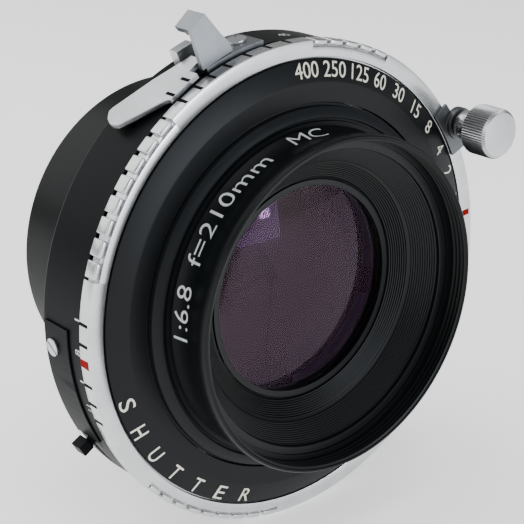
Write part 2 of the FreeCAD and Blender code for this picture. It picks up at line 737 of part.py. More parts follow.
# ---------------------------------------------------------------- blades
def make_shutter_leaves():
    """Five leaves, closed at rest. Each is a sector cut by the light opening as it stands when open."""
    pivot_radius, lead = dim("leaf_pivot_radius"), dim("leaf_pivot_lead")
    thick = dim("leaf_thickness")
    swing = math.radians(DIMENSIONS["leaf_swing"])
    half_angle = 42.0
    tip = 0.8
    for k in range(LEAF_COUNT):
        name = f"shutter_leaf_{k + 1}"
        level = behind(5.15) + dim("leaf_pitch") * k
        blade = solid("Part::Cylinder", name + "_sector", Radius=dim("leaf_reach") + tip, Height=thick)
        blade.Angle = 2 * half_angle
        turn = FreeCAD.Rotation(FreeCAD.Vector(0, 1, 0), -90.0 - half_angle)
        turn = turn.multiply(FreeCAD.Rotation(FreeCAD.Vector(1, 0, 0), -90.0))
        blade.Placement = FreeCAD.Placement(FreeCAD.Vector(0, 0, -tip), turn)
        px, pz = clock(pivot_radius, -lead)
        eye = rod(name + "_eye", 2.2, thick, px, 0.0, pz)
        arm = solid("Part::Box", name + "_arm", Length=4.0, Width=thick, Height=9.0)
        arm_turn = FreeCAD.Rotation(FreeCAD.Vector(0, 1, 0), -DIMENSIONS["leaf_pivot_lead"])
        start = arm_turn.multVec(FreeCAD.Vector(-2.0, 0, 11.5))
        arm.Placement = FreeCAD.Placement(start, arm_turn)
        whole = fuse(name + "_whole", [blade, eye, arm])
        # the light opening, turned back about the pivot by the leaf's swing
        pivot_x = px.value
        pivot_z = pz.value
        away_x = -pivot_x * math.cos(swing) - pivot_z * math.sin(swing)
        away_z = pivot_x * math.sin(swing) - pivot_z * math.cos(swing)
        opening = rod(name + "_opening", dim("light_radius") + 0.4, 2.0, pivot_x + away_x, -1.0, pivot_z + away_z)
        hole = rod(name + "_hole", 0.75, 2.0, px, -1.0, pz)
        tools = fuse(name + "_tools", [opening, hole])
        pierced = cut(name + "_pierced", whole, tools)
        # the far corner is trimmed so that the leaf swings clear of the next leaf's pivot
        swept = rod(name + "_swept", dim("leaf_clearance"), 2.0, px, -1.0, pz)
        leaf = doc.addObject("Part::Common", name)
        leaf.Base = pierced
        leaf.Tool = swept
        leaf.Label = name
        leaf.Placement = FreeCAD.Placement(
            FreeCAD.Vector(0, 0, 0), FreeCAD.Rotation(FreeCAD.Vector(0, 1, 0), 72.0 * k))
        bind(leaf, "Placement.Base.y", level)
        nodes[name] = leaf


def make_iris_blades():
    """Seven crescents, open at rest, each pivoted near one end."""
    inner = dim("light_radius") + 0.4
    outer = inner + dim("iris_width")
    thick = dim("leaf_thickness")
    for k in range(IRIS_COUNT):
        name = f"iris_blade_{k + 1}"
        level = behind(7.7) + dim("iris_pitch") * k
        band = solid("Part::Cylinder", name + "_band", Radius=outer, Height=thick, Angle=dim("iris_arc"))
        turn = FreeCAD.Rotation(FreeCAD.Vector(1, 0, 0), -90.0)
        band.Placement = FreeCAD.Placement(FreeCAD.Vector(0, 0, 0), turn)
        opening = rod(name + "_opening", inner, 2.0, 0.0, -1.0, 0.0)
        px, pz = clock(dim("leaf_pivot_radius"), 96.0)
        hole = rod(name + "_hole", 0.7, 2.0, px, -1.0, pz)
        blade = cut(name, band, fuse(name + "_tools", [opening, hole]))
        blade.Label = name
        blade.Placement = FreeCAD.Placement(
            FreeCAD.Vector(0, 0, 0), FreeCAD.Rotation(FreeCAD.Vector(0, 1, 0), 360.0 / IRIS_COUNT * k))
        bind(blade, "Placement.Base.y", level)
        nodes[name] = blade


def make_pivots():
    """Pins that the shutter leaves turn on, one node."""
    group = []
    for k in range(LEAF_COUNT):
        x, z = clock(dim("leaf_pivot_radius"), 72.0 * k - dim("leaf_pivot_lead"))
        group.append(rod(f"leaf_pivot_{k + 1}", 0.7, 1.42, x, behind(4.96), z))
    pins = doc.addObject("Part::Compound", "leaf_pivots")
    pins.Links = group
    pins.Label = "leaf_pivots"
    nodes["leaf_pivots"] = pins


# ---------------------------------------------------------------- slow-speed gear train and mainspring
GEARS = {
    # name: clock angle, radius of its centre, tip radius, teeth, front depth, back depth
    "sector_gear": (186.0, 26.0, 3.35, 28, 1.8, 2.5),
    "transfer_gear": (201.2, 26.0, 3.35, 24, 1.8, 2.5),
    "escape_wheel": (215.7, 26.0, 3.05, 16, 1.8, 2.5),
}


def make_gears():
    """Three small wheels on posts, and the anchor that the last one rocks."""
    posts = []
    for name, (angle, reach, tip, teeth, front, back) in GEARS.items():
        x, z = clock(reach, angle)
        wheel = new_body(name)
        sketch = new_sketch(wheel, name + "_disc_outline", "XZ_Plane", -behind(back))
        draw_circle(sketch, (0.0, 0.0), tip)
        draw_circle(sketch, (0.0, 0.0), 0.66)
        disc = wheel.newObject("PartDesign::Pad", name + "_disc")
        disc.Profile = sketch
        disc.Length = back - front
        wheel.Tip = disc
        half_root = math.pi * (tip - 0.55) / teeth * 0.42
        half_tip = math.pi * tip / teeth * 0.62
        gullet = [(-half_root, tip - 0.6), (half_root, tip - 0.6), (half_tip, tip + 0.2), (-half_tip, tip + 0.2)]
        cut_outline(wheel, name + "_gullet", gullet, front - 0.5, back - front + 1.0, (teeth, 360.0))
        place(wheel, x, 0.0, z)
        nodes[name] = wheel
        posts.append(rod(name + "_post", 0.6, 2.75, x, behind(1.63), z))
    anchor_x, anchor_z = clock(26.0, 228.3)
    anchor = new_body("escape_anchor")
    outline = [(-0.75, -2.1), (0.0, -2.5), (0.75, -2.1), (0.85, 0.0), (0.75, 2.1), (0.0, 2.5), (-0.75, 2.1), (-0.85, 0.0)]
    pad(anchor, "escape_anchor", outline, 2.5, 0.7, [((0.0, 0.0), 0.45)])
    place(anchor, anchor_x, 0.0, anchor_z)
    nodes["escape_anchor"] = anchor
    posts.append(rod("anchor_post", 0.4, 2.75, anchor_x, behind(1.63), anchor_z))
    group = doc.addObject("Part::Compound", "gear_posts")
    group.Links = posts
    group.Label = "gear_posts"
    nodes["gear_posts"] = group


def make_mainspring():
    """A small coil on its post. It is drawn relaxed."""
    x, z = clock(25.9, 60.0)
    post = rod("mainspring_post", 1.5, 2.7, x, behind(1.7), z)
    post.Label = "mainspring_post"
    nodes["mainspring_post"] = post
    wire, coil, pitch, turns = 0.2, 2.1, 0.55, 3.6
    helix = Part.makeHelix(pitch, pitch * turns, coil)
    start = FreeCAD.Vector(coil, 0, 0)
    circle = Part.Wire(Part.makeCircle(wire, start, FreeCAD.Vector(0, 1, pitch / (2 * math.pi * coil))))
    pipe = Part.Wire(helix).makePipeShell([circle], True, True)
    spring = doc.addObject("Part::Feature", "mainspring")
    spring.Label = "mainspring"
    spring.Shape = pipe
    spring.Placement = FreeCAD.Placement(
        FreeCAD.Vector(x.value, behind(2.05).value, z.value),
        FreeCAD.Rotation(FreeCAD.Vector(1, 0, 0), -90.0))
    nodes["mainspring"] = spring


# ---------------------------------------------------------------- build, test and write
make_housing()
make_front_of_case()
make_inner_plates()
make_side_plate()
make_side_sockets()
make_rear_screws()
make_front_barrel()
make_glasses()
make_rear_barrel()
make_board_ring()
make_speed_ring()
make_finger_knob()
make_cocking_lever()
make_preview_lever()
make_release_lever()
make_diaphragm_lever()
make_shutter_leaves()
make_iris_blades()
make_pivots()
make_gears()
make_mainspring()
doc.recompute()

for item in doc.Objects:
    if "Invalid" in item.State or "Error" in item.State:
        raise RuntimeError(f"{item.Label} failed: {item.State}")
for node, item in nodes.items():
    if item.Shape.isNull() or not item.Shape.isValid() or not item.Shape.Solids:
        raise RuntimeError(f"{node} has no valid solid")
for node, item in nodes.items():
    item.Shape.exportStep(f"parts/{node}.step")
print(len(nodes), "nodes written")
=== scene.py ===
import json
import math

import bpy
from mathutils import Matrix, Vector


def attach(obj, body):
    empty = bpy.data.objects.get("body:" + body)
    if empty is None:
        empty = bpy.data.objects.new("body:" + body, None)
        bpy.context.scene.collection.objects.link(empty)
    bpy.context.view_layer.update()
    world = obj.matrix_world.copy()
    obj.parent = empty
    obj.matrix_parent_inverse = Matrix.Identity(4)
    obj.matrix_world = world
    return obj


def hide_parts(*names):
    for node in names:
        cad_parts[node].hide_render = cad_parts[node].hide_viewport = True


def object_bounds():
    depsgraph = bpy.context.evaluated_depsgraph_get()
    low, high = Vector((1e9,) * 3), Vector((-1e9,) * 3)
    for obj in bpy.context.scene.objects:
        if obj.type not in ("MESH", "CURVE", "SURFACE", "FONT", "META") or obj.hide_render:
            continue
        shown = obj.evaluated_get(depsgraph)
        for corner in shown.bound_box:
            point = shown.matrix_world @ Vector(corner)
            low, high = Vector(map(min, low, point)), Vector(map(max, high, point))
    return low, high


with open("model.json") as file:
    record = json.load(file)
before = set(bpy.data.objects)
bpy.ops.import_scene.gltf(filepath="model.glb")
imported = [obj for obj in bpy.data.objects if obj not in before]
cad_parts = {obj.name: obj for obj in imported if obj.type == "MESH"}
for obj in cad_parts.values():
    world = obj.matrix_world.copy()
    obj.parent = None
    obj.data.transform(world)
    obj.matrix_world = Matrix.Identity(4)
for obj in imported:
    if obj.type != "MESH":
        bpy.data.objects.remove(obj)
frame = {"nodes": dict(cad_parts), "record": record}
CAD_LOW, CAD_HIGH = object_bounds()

bl_info = {
    "name": "Leaf-shutter lens",
    "version": (1, 0, 0),
    "blender": (4, 5, 0),
    "location": "View3D > Sidebar > Lens",
    "description": "Builds the visible pieces of a view-camera lens in its leaf shutter",
    "category": "Add Mesh",
}

MM = 0.001
# depth of the rear seat behind the speed ring's front plane, so that depths can be given from the front
SEAT_DEPTH = 12.3
TURNED_STEPS = 240

# radii and clock angles in millimetres and degrees, seen from the front
RING_RADIUS = 36.5
RING_STEP = 35.5
RING_BACK = 2.28
CASE_RADIUS = 36.0
FACE_RADIUS = 33.8
LETTERING_RADIUS = 32.4
FACE_SLOPE = math.atan2(0.84, 2.8)
GLASS_RADIUS = 16.54
KNOB_ANGLE = 58.5
KNOB_REACH = 37.3
KNURL_DEPTH = 0.2

CASE = "shutter_case"
RING = "speed_ring_unit"
KNOB = "finger_knob"
PREVIEW = "preview_unit"


# ---------------------------------------------------------------- settings
class LensSettings(bpy.types.PropertyGroup):
    """Sizes that change the look of the turned pieces and the engraving"""

    notch_depth: bpy.props.FloatProperty(
        name="Notch depth", description="Depth of the coin-edge notches on the speed ring",
        default=0.00078, unit="LENGTH")
    notch_width: bpy.props.FloatProperty(
        name="Notch width", description="Width of one coin-edge notch", default=0.00065, unit="LENGTH")
    notch_pitch: bpy.props.FloatProperty(
        name="Notch pitch", description="Angle from one notch to the next",
        default=math.radians(4.8), subtype="ANGLE")
    number_height: bpy.props.FloatProperty(
        name="Number height", description="Height of the speed numbers", default=0.0023, unit="LENGTH")
    thread_pitch: bpy.props.FloatProperty(
        name="Filter thread pitch", description="Distance between turns of the filter thread",
        default=0.00075, unit="LENGTH")
    knurl_count: bpy.props.IntProperty(
        name="Knurl ridges", description="Straight ridges round the clamp knob", default=60, min=12, max=90)


class FinishSettings(bpy.types.PropertyGroup):
    """Colours of the paints, as written on a paint card"""

    case_black: bpy.props.StringProperty(
        name="Case black", description="sRGB hex of the black anodising", default="#090B0D")
    collar_grey: bpy.props.StringProperty(
        name="Collar grey", description="sRGB hex of the dark grey collar", default="#141719")
    lettering: bpy.props.StringProperty(
        name="Lettering", description="sRGB hex of the cream filling in the engraving", default="#E9E6D6")
    index_red: bpy.props.StringProperty(
        name="Index red", description="sRGB hex of the red index marks", default="#8A0704")


def settings():
    return bpy.context.scene.lens_settings


def finishes():
    return bpy.context.scene.lens_finishes


# ---------------------------------------------------------------- small helpers
def linear(code):
    """An sRGB hex colour as the linear values that the shaders use."""
    channels = [int(code[k:k + 2], 16) / 255 for k in (1, 3, 5)]
    return tuple(c / 12.92 if c <= 0.04045 else ((c + 0.055) / 1.055) ** 2.4 for c in channels) + (1.0,)


def back_of(depth):
    """The frame's y, in metres, of a depth in millimetres behind the ring's front plane."""
    return (depth - SEAT_DEPTH) * MM


def deselect_all():
    if bpy.context.mode != "OBJECT":
        bpy.ops.object.mode_set(mode="OBJECT")
    bpy.ops.object.select_all(action="DESELECT")


def pick(obj):
    deselect_all()
    obj.select_set(True)
    bpy.context.view_layer.objects.active = obj


def settle(obj):
    """Put an object's place, turn and size into its mesh."""
    pick(obj)
    bpy.ops.object.transform_apply(location=True, rotation=True, scale=True)


def apply_modifiers(obj):
    pick(obj)
    for modifier in list(obj.modifiers):
        bpy.ops.object.modifier_apply(modifier=modifier.name)


def soften_edges(obj, width, segments=2, angle=30.0):
    """Break the sharp edges, as tumbling and plating do, and apply it."""
    bevel = obj.modifiers.new("broken_edges", "BEVEL")
    bevel.width = width * MM
    bevel.segments = segments
    bevel.limit_method = "ANGLE"
    bevel.angle_limit = math.radians(angle)
    apply_modifiers(obj)


def smooth(obj, angle=30.0):
    pick(obj)
    bpy.ops.object.shade_smooth_by_angle(angle=math.radians(angle))


def clean(obj, gap=1e-7):
    """Merge doubles and turn every face outwards."""
    pick(obj)
    bpy.ops.object.mode_set(mode="EDIT")
    bpy.ops.mesh.select_all(action="SELECT")
    bpy.ops.mesh.remove_doubles(threshold=gap)
    bpy.ops.mesh.normals_make_consistent(inside=False)
    bpy.ops.object.mode_set(mode="OBJECT")


def join(name, objects):
    deselect_all()
    for obj in objects:
        obj.select_set(True)
    bpy.context.view_layer.objects.active = objects[0]
    if len(objects) > 1:
        bpy.ops.object.join()
    joined = bpy.context.object
    joined.name = name
    joined.data.name = name
    return joined


def turned(name, profile, steps=TURNED_STEPS, angle=30.0):
    """A turned piece: a closed outline of (radius, depth) in millimetres, spun about the optical axis."""
    deselect_all()
    bpy.ops.mesh.primitive_circle_add(vertices=len(profile), radius=MM, fill_type="NOTHING")
    obj = bpy.context.object
    obj.name = name
    obj.data.name = name
    for vertex, (radius, depth) in zip(obj.data.vertices, profile):
        vertex.co = (radius * MM, back_of(depth), 0.0)
    bpy.ops.object.mode_set(mode="EDIT")
    bpy.ops.mesh.select_all(action="SELECT")
    bpy.ops.mesh.spin(steps=steps, angle=math.tau, center=(0, 0, 0), axis=(0, 1, 0))
    bpy.ops.object.mode_set(mode="OBJECT")
    clean(obj)
    smooth(obj, angle)
    return obj


def turned_arc(name, profile, start, end):
    """Part of a turned piece, between two clock angles, with its ends closed."""
    deselect_all()
    bpy.ops.mesh.primitive_circle_add(vertices=len(profile), radius=MM, fill_type="NOTHING")
    obj = bpy.context.object
    obj.name = name
    obj.data.name = name
    outward, _ = direction(start)
    for vertex, (radius, depth) in zip(obj.data.vertices, profile):
        vertex.co = outward * radius * MM + Vector((0, back_of(depth), 0))
    bpy.ops.object.mode_set(mode="EDIT")
    bpy.ops.mesh.select_all(action="SELECT")
    steps = max(2, round((end - start) / 1.2))
    bpy.ops.mesh.spin(steps=steps, angle=math.radians(end - start), center=(0, 0, 0), axis=(0, -1, 0))
    bpy.ops.mesh.select_all(action="DESELECT")
    bpy.ops.mesh.select_non_manifold()
    bpy.ops.mesh.fill_holes(sides=0)
    bpy.ops.object.mode_set(mode="OBJECT")
    clean(obj)
    return obj


def direction(angle):
    """Outward and clockwise directions at a clock angle in degrees, from +Z towards +X."""
    turn = math.radians(angle)
    return Vector((math.sin(turn), 0, math.cos(turn))), Vector((math.cos(turn), 0, -math.sin(turn)))


def on_wall(radius_at, angle, depth):
    """Wraps flat artwork onto the outside of a round wall: its x runs clockwise, its y to the rear."""
    def place(x, y, z):
        level = depth + y
        radius = radius_at(level) + z
        outward, _ = direction(angle + math.degrees(x / radius))
        point = outward * radius * MM
        point.y = back_of(level)
        return point
    return place


def on_face(radius, slope_start, slope, angle, inward=False):
    """Wraps flat artwork onto a coned face: its x runs round the face, and its y outwards or inwards."""
    def place(x, y, z):
        if inward:
            x, y = -x, -y
        reach = radius + y * math.cos(slope)
        outward, _ = direction(angle + math.degrees(x / radius))
        point = outward * reach * MM
        point.y = back_of((reach - slope_start) * math.tan(slope) - z)
        return point
    return place


def artwork(name, text, height, width, place, lift=0.02, thickness=0.03, weight=0.0):
    """Letters as a thin raised mesh, fitted to a width and a height in millimetres and then wrapped."""
    deselect_all()
    bpy.ops.object.text_add()
    words = bpy.context.object
    words.data.body = text
    words.data.size = 4.0
    words.data.align_x = "CENTER"
    words.data.extrude = thickness / 2
    words.data.offset = weight
    words.data.resolution_u = 4
    bpy.ops.object.convert(target="MESH")
    words = bpy.context.object
    words.name = name
    words.data.name = name
    low = [min(v.co[k] for v in words.data.vertices) for k in range(2)]
    high = [max(v.co[k] for v in words.data.vertices) for k in range(2)]
    scale_y = height / (high[1] - low[1])
    scale_x = width / (high[0] - low[0])
    for vertex in words.data.vertices:
        x = (vertex.co.x - (low[0] + high[0]) / 2) * scale_x
        y = (vertex.co.y - (low[1] + high[1]) / 2) * scale_y
        vertex.co = place(x, y, vertex.co.z + lift)
    clean(words, 1e-8)
    return words


def stripe(name, place, width, length, thickness=0.05, lift=0.0, taper=1.0, pieces=4):
    """A painted stroke as a thin raised block, wrapped onto a surface; taper narrows its far end."""
    deselect_all()
    bpy.ops.mesh.primitive_cube_add(size=1.0)
    stroke = bpy.context.object
    stroke.name = name
    stroke.data.name = name
    bpy.ops.object.mode_set(mode="EDIT")
    bpy.ops.mesh.select_all(action="SELECT")
    bpy.ops.mesh.subdivide(number_cuts=pieces)
    bpy.ops.object.mode_set(mode="OBJECT")
    for vertex in stroke.data.vertices:
        x, y, z = vertex.co
        narrow = 1.0 + (taper - 1.0) * (y + 0.5)
        vertex.co = place(x * width * narrow, y * length, (z + 0.5) * thickness + lift)
    clean(stroke, 1e-8)
    return stroke


def between(points):
    """A radius that follows (depth, radius) points in straight runs."""
    def radius(depth):
        for (d0, r0), (d1, r1) in zip(points, points[1:]):
            if d0 <= depth <= d1:
                return r0 + (r1 - r0) * (depth - d0) / (d1 - d0)
        return points[0][1] if depth < points[0][0] else points[-1][1]
    return radius


# ---------------------------------------------------------------- materials
def add_node(tree, kind, links=None, **values):
    """One node with its settings; links maps an input's name to another node's output."""
    node = tree.nodes.new(kind)
    for key, value in values.items():
        if key in node.inputs:
            node.inputs[key].default_value = value
        else:
            setattr(node, key, value)
    for socket, output in (links or {}).items():
        tree.links.new(output, node.inputs[socket])
    return node


def new_material(name):
    """A material with one Principled shader, and the Object coordinates that its patterns read."""
    material = bpy.data.materials.new(name)
    material.use_nodes = True
    tree = material.node_tree
    tree.nodes.clear()
    output = add_node(tree, "ShaderNodeOutputMaterial")
    shader = add_node(tree, "ShaderNodeBsdfPrincipled")
    tree.links.new(shader.outputs[0], output.inputs[0])
    place = add_node(tree, "ShaderNodeTexCoord").outputs["Object"]
    return material, tree, shader, place


def grain(tree, place, size_mm, detail=3.0):
    """Fine noise whose grains are about size_mm across."""
    return add_node(tree, "ShaderNodeTexNoise", {"Vector": place}, Scale=1.0 / (size_mm * MM), Detail=detail)


def spread(tree, source, low, high, start=0.3, end=0.7):
    """A 0 to 1 value mapped onto a smaller range."""
    return add_node(tree, "ShaderNodeMapRange", {"Value": source}, **{
        "From Min": start, "From Max": end, "To Min": low, "To Max": high}).outputs[0]


def tint(tree, shader, factor, dark, light):
    mix = add_node(tree, "ShaderNodeMix", {"Factor": factor}, data_type="RGBA")
    mix.inputs[6].default_value = dark
    mix.inputs[7].default_value = light
    tree.links.new(mix.outputs[2], shader.inputs["Base Color"])


def relief(tree, shader, height, distance_mm, strength=1.0):
    bump = add_node(tree, "ShaderNodeBump", {"Height": height}, Strength=strength, Distance=distance_mm * MM)
    tree.links.new(bump.outputs[0], shader.inputs["Normal"])


def lathe_lines(tree, place, spacing_mm):
    """Rings left by the turning tool, spaced along the optical axis and along the radius."""
    split = add_node(tree, "ShaderNodeSeparateXYZ", {"Vector": place})
    flat = add_node(tree, "ShaderNodeCombineXYZ", {"X": split.outputs["X"], "Y": split.outputs["Z"]})
    reach = add_node(tree, "ShaderNodeVectorMath", {0: flat.outputs[0]}, operation="LENGTH").outputs["Value"]
    both = add_node(tree, "ShaderNodeMath", {0: reach, 1: split.outputs["Y"]}, operation="ADD").outputs[0]
    line = add_node(tree, "ShaderNodeCombineXYZ", {"X": both})
    return add_node(tree, "ShaderNodeTexNoise", {"Vector": line.outputs[0]},
                    Scale=1.0 / (spacing_mm * MM), Detail=2.0).outputs[0]


def black_anodised(name, colour, roughness, ring_mm, gloss):
    """Turned aluminium, anodised black: a deep satin black with faint tool rings and a soft grey sheen."""
    material, tree, shader, place = new_material(name)
    cloud = grain(tree, place, 9.0)
    base = linear(colour)
    lifted = tuple(c * 1.35 for c in base[:3]) + (1.0,)
    tint(tree, shader, spread(tree, cloud.outputs[0], 0.0, 1.0), base, lifted)
    rings = lathe_lines(tree, place, ring_mm)
    tree.links.new(spread(tree, rings, roughness - 0.05, roughness + 0.08), shader.inputs["Roughness"])
    relief(tree, shader, rings, 0.004, 0.6)
    # the dyed oxide is porous, so it mirrors less than clear plastic of the same smoothness
    shader.inputs["Specular IOR Level"].default_value = gloss
    return material


def satin_plate(name, colour, roughness, scratch_mm):
    """Plated or bare metal with a satin grain: bright, slightly cloudy, with fine turning lines."""
    material, tree, shader, place = new_material(name)
    shader.inputs["Metallic"].default_value = 1.0
    cloud = grain(tree, place, 4.0)
    base = linear(colour)
    darker = tuple(c * 0.86 for c in base[:3]) + (1.0,)
    tint(tree, shader, spread(tree, cloud.outputs[0], 0.0, 1.0), darker, base)
    lines = lathe_lines(tree, place, scratch_mm)
    tree.links.new(spread(tree, lines, roughness - 0.06, roughness + 0.08), shader.inputs["Roughness"])
    relief(tree, shader, lines, 0.003, 0.5)
    return material


def brushed_sheet(name, colour, roughness):
    """Pressed sheet steel, satin nickel plated: even fine speckle from the tumbling barrel."""
    material, tree, shader, place = new_material(name)
    shader.inputs["Metallic"].default_value = 1.0
    speckle = grain(tree, place, 0.22, 4.0)
    cloud = grain(tree, place, 5.0)
    base = linear(colour)
    darker = tuple(c * 0.84 for c in base[:3]) + (1.0,)
    tint(tree, shader, spread(tree, cloud.outputs[0], 0.0, 1.0), darker, base)
    polish = spread(tree, speckle.outputs[0], roughness - 0.05, roughness + 0.07)
    tree.links.new(polish, shader.inputs["Roughness"])
    relief(tree, shader, speckle.outputs[0], 0.004, 0.35)
    return material


def paint_fill(name, colour, roughness=0.5, gloss=0.5):
    """Enamel wiped into engraving: matt, a little uneven where it was wiped."""
    material, tree, shader, place = new_material(name)
    base = linear(colour)
    worn = tuple(c * 0.8 for c in base[:3]) + (1.0,)
    tint(tree, shader, spread(tree, grain(tree, place, 0.5).outputs[0], 0.0, 1.0, 0.25, 0.5), worn, base)
    shader.inputs["Roughness"].default_value = roughness
    shader.inputs["Specular IOR Level"].default_value = gloss
    return material


def coated_glass(name, sheen, index):
    """Optical glass with an anti-reflection film, which turns its reflections purple or amber."""
    material, tree, shader, place = new_material(name)
    shader.inputs["Base Color"].default_value = (1.0, 1.0, 1.0, 1.0)
    shader.inputs["Transmission Weight"].default_value = 1.0
    # the film takes away most of the reflection, so the surface mirrors like a much lower index
    shader.inputs["IOR"].default_value = index
    shader.inputs["Roughness"].default_value = 0.0
    shader.inputs["Specular Tint"].default_value = linear(sheen)
    # light from the lamps and the room goes straight through to the blades behind
    through = add_node(tree, "ShaderNodeBsdfTransparent", Color=(0.8, 0.78, 0.8, 1.0))
    path = add_node(tree, "ShaderNodeLightPath")
    output = next(node for node in tree.nodes if node.type == "OUTPUT_MATERIAL")
    lamp = add_node(tree, "ShaderNodeMixShader",
                    {0: path.outputs["Is Shadow Ray"], 1: shader.outputs[0], 2: through.outputs[0]})
    room = add_node(tree, "ShaderNodeMixShader",
                    {0: path.outputs["Is Diffuse Ray"], 1: lamp.outputs[0], 2: through.outputs[0]})
    tree.links.new(room.outputs[0], output.inputs[0])
    return material


def blackened_blade(name, colour):
    """Spring-steel leaf with a dry-film black: nearly matt, with faint cloudy rub marks."""
    material, tree, shader, place = new_material(name)
    base = linear(colour)
    rubbed = tuple(c * 1.3 for c in base[:3]) + (1.0,)
    tint(tree, shader, spread(tree, grain(tree, place, 5.0, 2.0).outputs[0], 0.0, 1.0), base, rubbed)
    shader.inputs["Roughness"].default_value = 0.6
    shader.inputs["Specular IOR Level"].default_value = 0.03
    return material


def machined_brass(name, colour):
    """Cut brass: warm yellow with fine cutter marks."""
    material, tree, shader, place = new_material(name)
    shader.inputs["Metallic"].default_value = 1.0
    base = linear(colour)
    darker = tuple(c * 0.75 for c in base[:3]) + (1.0,)
    marks = grain(tree, place, 0.6, 4.0)
    tint(tree, shader, spread(tree, marks.outputs[0], 0.0, 1.0), darker, base)
    tree.links.new(spread(tree, marks.outputs[0], 0.24, 0.4), shader.inputs["Roughness"])
    return material


MATERIALS = {}


def make_materials():
    look = finishes()
    MATERIALS.update({
        "case_black": black_anodised("satin_black_anodised_case", look.case_black, 0.4, 0.3, 0.065),
        "face_black": black_anodised("satin_black_anodised_face", "#080B0D", 0.36, 0.16, 0.18),
        "barrel_black": black_anodised("black_anodised_barrel", "#090C0D", 0.34, 0.2, 0.16),
        "baffle_black": black_anodised("matt_black_baffle", "#06090A", 0.38, 0.12, 0.26),
        "rear_black": black_anodised("turned_black_rear_barrel", "#080B0C", 0.32, 0.22, 0.1),
        "collar_grey": black_anodised("dark_grey_collar", look.collar_grey, 0.42, 0.2, 0.15),
        "ring_chrome": satin_plate("satin_chrome_ring", "#D3D5D6", 0.27, 0.14),
        "knob_steel": satin_plate("satin_chrome_knob", "#C6C8CA", 0.3, 0.2),
        "sheet_steel": brushed_sheet("satin_nickel_sheet", "#CDD0D2", 0.34),
        "lever_steel": brushed_sheet("satin_nickel_lever", "#8E9296", 0.34),
        "dark_steel": brushed_sheet("oxidised_dark_steel", "#6B6E70", 0.4),
        # the glass rim's black paint is tinted dark red-brown: a painted glint that stands in for the red
        # glints of light at the rim
        "glass_edge": paint_fill("blackened_glass_rim_painted_red_glint", "#1C0706", 0.6, 0.2),
        "cream_fill": paint_fill("cream_enamel_fill", look.lettering),
        "grey_fill": paint_fill("grey_white_enamel_fill", "#C9CED0"),
        "black_fill": paint_fill("black_enamel_fill", "#030303", 0.7, 0.1),
        "red_fill": paint_fill("red_enamel_fill", look.index_red, 0.6, 0.05),
        "front_glass": coated_glass("coated_glass_front", "#B070C0", 1.28),
        "inner_glass": coated_glass("coated_glass_inner", "#C07840", 1.1),
        "rear_glass": coated_glass("coated_glass_rear", "#9060B0", 1.28),
        "blade": blackened_blade("blackened_spring_steel", "#1F1613"),
        "brass": machined_brass("machined_brass", "#C49A4E"),
    })


def paint(obj, key):
    """Give a piece one finish all over."""
    obj.data.materials.clear()
    obj.data.materials.append(MATERIALS[key])


def finish_piece(obj, key, body, slot, *replaced):
    paint(obj, key)
    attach(obj, body)
    if replaced:
        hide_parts(*replaced)


# ---------------------------------------------------------------- operators
class LENS_OT_materials(bpy.types.Operator):
    """Mix every finish and put it on the pieces that come from the frame"""

    bl_idname = "lens.materials"
    bl_label = "Finishes"

    def execute(self, context):
        make_materials()
        finish_of = {
            "painted_black": "case_black", "black_metal": "case_black", "dark_grey_metal": "collar_grey",
            "chrome": "ring_chrome", "satin_steel": "sheet_steel", "blade_steel": "blade",
            "brass": "brass", "glass": "front_glass",
        }
        slots = {entry["node"]: entry["material_slot"] for entry in frame["record"]["subparts"]}
        own = {
            "middle_element": "inner_glass", "rear_element": "rear_glass", "rear_cell_barrel": "rear_black",
            "diaphragm_lever": "case_black", "cocking_lever": "lever_steel", "side_plate_screw": "sheet_steel",
            "ring_clamp": "dark_steel",
            "mechanism_plate": "case_black", "divider_plate": "case_black",
            "leaf_ring": "dark_steel", "iris_ring": "dark_steel", "front_retaining_ring": "baffle_black",
            "spacer_ring": "baffle_black", "rear_retaining_ring": "baffle_black",
            "mainspring_post": "brass", "gear_posts": "knob_steel",
        }
        for name, node in frame["nodes"].items():
            key = own.get(name, finish_of[slots[name]])
            node.data.materials.clear()
            node.data.materials.append(MATERIALS[key])
        return {"FINISHED"}


